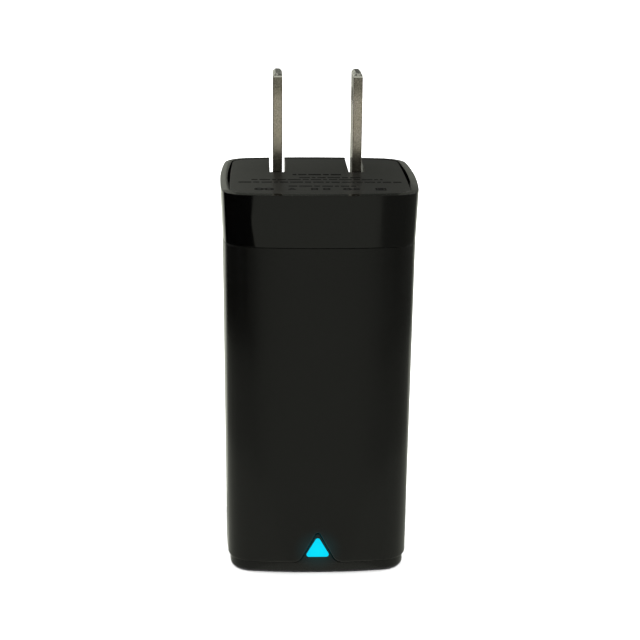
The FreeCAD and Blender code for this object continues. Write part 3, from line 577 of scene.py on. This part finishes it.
def slab(mesh, outline, low):
    """Add a thin printed patch to a mesh, from an outline in millimetres."""
    floor = [mesh.verts.new((x * MM, y * MM, low)) for x, y in outline]
    roof = [mesh.verts.new((x * MM, y * MM, low + PRINT_THICK)) for x, y in outline]
    mesh.faces.new(list(reversed(floor)))
    mesh.faces.new(roof)
    count = len(outline)
    for i in range(count):
        j = (i + 1) % count
        mesh.faces.new((floor[i], floor[j], roof[j], roof[i]))


def ring(mesh, x, y, radius, line, sides, turn, low):
    """A thin outlined shape with a number of sides, in quads."""
    for i in range(sides):
        angles = [turn + 2 * math.pi * (i + step) / sides for step in (0, 1)]
        inner, outer = [[(x + reach * math.cos(a), y + reach * math.sin(a)) for a in angles]
                        for reach in (radius - line, radius)]
        slab(mesh, [inner[0], outer[0], outer[1], inner[1]], low)


def bars(mesh, number, low):
    """One row of bars whose lengths change along the row, in place of a line of small print."""
    y, x, right, tall = PRINT_ROWS[number]
    place = 0
    while x < right - BAR_GAP:
        long = min(BAR_SHORTEST + BAR_STEP * ((place * 7 + number * 3) % 5), right - x)
        slab(mesh, [(x, y - tall / 2), (x + long, y - tall / 2),
                    (x + long, y + tall / 2), (x, y + tall / 2)], low)
        x += long + BAR_GAP
        place += 1


def plate_marks():
    """Bars and plain shapes (rings, boxes, a triangle, a hexagon) in place of the print."""
    low = corners("end_plate")[1].z - PRINT_SUNK
    mesh = bmesh.new()
    for number in range(len(PRINT_ROWS)):
        bars(mesh, number, low)
    for x, radius, line, sides, turn in SIGNS:
        ring(mesh, x, SIGNS_Y, radius, line, sides, turn, low)
    marks = new_piece("plate_marks", mesh, print_ink())
    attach(marks, "charger")


# ---------------------------------------------------------------- floor

FLOOR_RADIUS = 6.0
FLOOR_GREY = (0.86, 0.86, 0.86)
FLOOR_GRAIN = 0.4
DISC_SEGMENTS = 96


def floor_material():
    """Pale and matt, with very faint clouds."""
    shader = Shader("floor_pale", FLOOR_GREY, 0.7, specular=0.2)
    cloud = shader.noise(FLOOR_GRAIN, detail=2.0)
    shader.paint(shader.mottle(cloud, FLOOR_GREY, brighter(FLOOR_GREY, 0.985)))
    return shader.material


def disc(name, radius, height, material):
    """A flat disc round the object's axis."""
    mesh = bmesh.new()
    bmesh.ops.create_circle(mesh, cap_ends=True, radius=radius, segments=DISC_SEGMENTS)
    piece = new_piece(name, mesh, material)
    piece.location.z = height
    return piece


# ---------------------------------------------------------------- cards that only reflections show

TENT_RADIUS = 0.55
TENT_HEIGHT = 0.6
CEILING_GREY = 0.3
CARD_TINT = (0.97, 1.0, 0.86, 1.0)
CARD_GRADE = 0.06                       # half the width over which a card's grey changes
CARD_LIFT = 0.5 * MM
CARD_STEP = 6                           # degrees between the edges of a curved card

# Distances of the ground cards' edges from the object's axis
RIM_RADIUS = 0.012
CLOSE_RADIUS = 0.0175
MIDDLE_RADIUS = 0.055
NEAR_RADIUS = 0.118
BEHIND_RADIUS = 0.15

# Heights of the wall cards' edges
FRONT_WALL = 0.13
LEFT_WALL_LOW = 0.1
LEFT_WALL = 0.2
BACK_WALL = 0.174
RIGHT_WALL = 0.177

# Angles in degrees from the front, positive towards the object's left
FRONT_LEFT, FRONT_RIGHT = 16, -18
GROUND_LEFT, GROUND_RIGHT = 130, -130
BEHIND_LEFT, BEHIND_RIGHT = 171, 189
WALL_LEFT, WALL_LEFT_BACK = 60, 140
BACK_LEFT, BACK_RIGHT = 175.8, 188
WALL_RIGHT_BACK = 222

# name, first and last angle, inner and outer radius, grey
GROUND_CARDS = (
    ("ground_close", GROUND_RIGHT, GROUND_LEFT, RIM_RADIUS, CLOSE_RADIUS, 0.75),
    ("ground_near", FRONT_RIGHT, FRONT_LEFT, CLOSE_RADIUS, NEAR_RADIUS, 0.46),
    ("ground_near_left", FRONT_LEFT, GROUND_LEFT, CLOSE_RADIUS, MIDDLE_RADIUS, 0.5),
    ("ground_middle_left", FRONT_LEFT, GROUND_LEFT, MIDDLE_RADIUS, NEAR_RADIUS, 0.33),
    ("ground_near_right", -116, FRONT_RIGHT, CLOSE_RADIUS, MIDDLE_RADIUS, 0.5),
    ("ground_middle_right", -116, FRONT_RIGHT, MIDDLE_RADIUS, NEAR_RADIUS, 0.33),
    ("ground_behind_left", GROUND_LEFT, BEHIND_LEFT, RIM_RADIUS, TENT_RADIUS, 0.9),
    ("ground_behind", BEHIND_LEFT, BEHIND_RIGHT, RIM_RADIUS, BEHIND_RADIUS, 0.9),
    ("ground_behind_far", BEHIND_LEFT, BEHIND_RIGHT, BEHIND_RADIUS, TENT_RADIUS, 0.4),
    ("ground_behind_right", BEHIND_RIGHT, 230, RIM_RADIUS, TENT_RADIUS, 0.9),
    ("ground_beside_right", 230, 244, RIM_RADIUS, NEAR_RADIUS, 0.9),
    ("ground_front", FRONT_RIGHT, FRONT_LEFT, NEAR_RADIUS, TENT_RADIUS, 0.46),
    ("ground_left", FRONT_LEFT, GROUND_LEFT, NEAR_RADIUS, TENT_RADIUS, 0.0),
    ("ground_right", GROUND_RIGHT, FRONT_RIGHT, NEAR_RADIUS, TENT_RADIUS, 0.16),
)
# name, first and last angle, lower and upper height, grey on the object's left and right
WALL_CARDS = (
    ("wall_front_low", -60, 40, 0.0, FRONT_WALL, 0.46, 0.46),
    ("wall_front", -110, WALL_LEFT, FRONT_WALL, TENT_HEIGHT, 0.08, 0.08),
    ("wall_left_low", WALL_LEFT, WALL_LEFT_BACK, 0.0, LEFT_WALL_LOW, 0.0, 0.0),
    ("wall_left_back", WALL_LEFT_BACK, BACK_LEFT, 0.0, LEFT_WALL, 0.49, 0.49),
    ("wall_left", WALL_LEFT, WALL_LEFT_BACK, LEFT_WALL_LOW, LEFT_WALL, 0.3, 0.3),
    ("wall_left_high", WALL_LEFT, BACK_LEFT, LEFT_WALL, TENT_HEIGHT, 0.3, 0.3),
    ("wall_back_low", BACK_LEFT, BACK_RIGHT, 0.0, BACK_WALL, 0.26, 0.11),
    ("wall_back", BACK_LEFT, BACK_RIGHT, BACK_WALL, TENT_HEIGHT, 0.18, 0.07),
    ("wall_right_back", BACK_RIGHT, WALL_RIGHT_BACK, 0.0, RIGHT_WALL, 0.3, 0.3),
    ("wall_right_high", BACK_RIGHT, WALL_RIGHT_BACK, RIGHT_WALL, TENT_HEIGHT, 0.17, 0.17),
    ("wall_right_front", WALL_RIGHT_BACK, 250, 0.0, TENT_HEIGHT, 0.1, 0.1),
)


def card_material(name, left_grey, right_grey):
    """Even glow, graded from left to right across the object's width."""
    material = bpy.data.materials.new(name)
    material.use_nodes = True
    tree = material.node_tree
    tree.nodes.clear()
    place = tree.nodes.new("ShaderNodeTexCoord")
    split = tree.nodes.new("ShaderNodeSeparateXYZ")
    ramp = tree.nodes.new("ShaderNodeMapRange")
    for socket, value in (("From Min", -CARD_GRADE), ("From Max", CARD_GRADE),
                          ("To Min", left_grey), ("To Max", right_grey)):
        ramp.inputs[socket].default_value = value
    glow = tree.nodes.new("ShaderNodeEmission")
    glow.inputs["Color"].default_value = CARD_TINT
    output = tree.nodes.new("ShaderNodeOutputMaterial")
    tree.links.new(place.outputs["Object"], split.inputs["Vector"])
    tree.links.new(split.outputs["X"], ramp.inputs["Value"])
    tree.links.new(ramp.outputs["Result"], glow.inputs["Strength"])
    tree.links.new(glow.outputs["Emission"], output.inputs["Surface"])
    return material


def reflections_only(piece):
    """Leave a card out of everything but reflections."""
    piece.visible_camera = False
    piece.visible_diffuse = False
    piece.visible_transmission = False
    piece.visible_shadow = False


def card(name, angles, radii, heights, greys):
    """A sector of card round the object: flat if both heights are equal, else a wall."""
    first, last = angles
    steps = max(1, round((last - first) / CARD_STEP))
    mesh = bmesh.new()
    rows = []
    for i in range(steps + 1):
        angle = math.radians(first + (last - first) * i / steps)
        along = Vector((-math.sin(angle), -math.cos(angle), 0.0))
        rows.append([mesh.verts.new(along * radius + Vector((0, 0, height)))
                     for radius, height in zip(radii, heights)])
    for here, there in zip(rows, rows[1:]):
        mesh.faces.new((here[0], here[1], there[1], there[0]))
    reflections_only(new_piece(name, mesh, card_material(name, *greys)))


def tent():
    """What the polished faces see: grey in front, darker at the sides, bright ground behind."""
    for name, first, last, inner, outer, grey in GROUND_CARDS:
        card(name, (first, last), (inner, outer), (CARD_LIFT, CARD_LIFT), (grey, grey))
    for name, first, last, low, high, left_grey, right_grey in WALL_CARDS:
        card(name, (first, last), (TENT_RADIUS, TENT_RADIUS), (low, high), (left_grey, right_grey))
    ceiling = card_material("ceiling", CEILING_GREY, CEILING_GREY)
    reflections_only(disc("ceiling", TENT_RADIUS, TENT_HEIGHT, ceiling))


# ---------------------------------------------------------------- light and camera

WORLD_STRENGTH = 1.9
LIGHTS_AIM = Vector((0.0, 0.0, 0.04))
# name, place, size and power
SOFTBOXES = (
    ("top_light", (0.0, 0.1, 0.7), (0.7, 0.7), 3.0),
    ("left_light", (-0.5, 0.25, 0.25), (0.3, 0.6), 2.0),
    ("right_light", (0.5, 0.25, 0.25), (0.3, 0.6), 2.0),
)


def softbox(name, place, size, power):
    """A soft rectangular light turned towards the object."""
    data = bpy.data.lights.new(name, "AREA")
    data.shape = "RECTANGLE"
    data.size, data.size_y = size
    data.energy = power
    lamp = bpy.data.objects.new(name, data)
    lamp.location = place
    lamp.rotation_mode = "QUATERNION"
    lamp.rotation_quaternion = (Vector(place) - LIGHTS_AIM).to_track_quat("Z", "Y")
    bpy.context.scene.collection.objects.link(lamp)


def stage():
    """The pale floor, the white studio round it, the soft lights and the cards."""
    disc("floor", FLOOR_RADIUS, 0.0, floor_material())
    world = bpy.data.worlds.new("studio")
    bpy.context.scene.world = world
    world.use_nodes = True
    backdrop = world.node_tree.nodes["Background"]
    backdrop.inputs["Color"].default_value = (1.0, 1.0, 1.0, 1.0)
    backdrop.inputs["Strength"].default_value = WORLD_STRENGTH
    for light in SOFTBOXES:
        softbox(*light)
    tent()


def camera():
    """The camera, placed as the photograph's was."""
    azimuth, elevation = math.radians(CAMERA_AZIMUTH), math.radians(CAMERA_ELEVATION)
    away = Vector((math.sin(azimuth) * math.cos(elevation),
                   -math.cos(azimuth) * math.cos(elevation), math.sin(elevation)))
    data = bpy.data.cameras.new("camera")
    data.sensor_width = CAMERA_SENSOR
    data.lens = CAMERA_LENS
    data.clip_start = CAMERA_NEAR
    data.clip_end = CAMERA_FAR
    piece = bpy.data.objects.new("camera", data)
    piece.location = CAMERA_TARGET + away * CAMERA_DISTANCE
    level = away.to_track_quat("Z", "Y")
    roll = Matrix.Rotation(math.radians(CAMERA_ROLL), 3, "Z").to_quaternion()
    piece.rotation_mode = "QUATERNION"
    piece.rotation_quaternion = level @ roll
    bpy.context.scene.collection.objects.link(piece)
    bpy.context.scene.camera = piece


dress_nodes()
plate_marks()
stage()
camera()
bpy.context.scene.view_settings.view_transform = "Standard"
